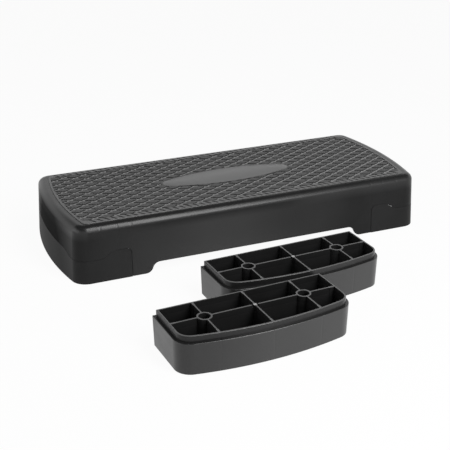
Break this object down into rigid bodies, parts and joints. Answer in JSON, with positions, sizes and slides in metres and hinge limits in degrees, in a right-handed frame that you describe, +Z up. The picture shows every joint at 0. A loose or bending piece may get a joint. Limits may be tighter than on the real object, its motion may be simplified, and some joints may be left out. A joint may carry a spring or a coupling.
{
  "type": "aerobic step platform",
  "caption": "Low moulded exercise step with bowed ends, a textured tread and waved end feet, shown with the loose block risers that raise it when set under its ends.",
  "frame": {"origin": "on the floor, in the middle of the space that the platform and its loose risers take up together", "axes": "+X along the platform's length, +Y from the risers towards the platform, +Z up"},
  "size_m": [0.68, 0.6138, 0.1],
  "materials": {
    "shell_plastic": "satin black moulding",
    "tread_rubber": "matte textured rubber",
    "plate_plastic": "smooth satin grey",
    "foot_plastic": "matte black moulding",
    "screw_steel": "zinc plated",
    "riser_plastic": "satin black moulding",
    "pad_rubber": "soft black rubber"
  },
  "bodies": {
    "platform": {"platform_shell": "shell_plastic", "tread_mat": "tread_rubber", "centre_plate": "plate_plastic", "left_end_foot": "foot_plastic", "right_end_foot": "foot_plastic", "left_foot_screws": "screw_steel", "right_foot_screws": "screw_steel"},
    "riser_front": {"riser_front": "riser_plastic", "riser_front_pad_1": "pad_rubber", "riser_front_pad_2": "pad_rubber", "riser_front_pad_3": "pad_rubber", "riser_front_pad_4": "pad_rubber"},
    "riser_rear": {"riser_rear": "riser_plastic", "riser_rear_pad_1": "pad_rubber", "riser_rear_pad_2": "pad_rubber", "riser_rear_pad_3": "pad_rubber", "riser_rear_pad_4": "pad_rubber"}
  },
  "joints": [
    {"name": "riser_front_lift", "type": "slide", "parent": "platform", "child": "riser_front", "axis": [0, 0, 1], "range_m": [0, 0.12]},
    {"name": "riser_rear_lift", "type": "slide", "parent": "platform", "child": "riser_rear", "axis": [0, 0, 1], "range_m": [0, 0.12]}
  ]
}
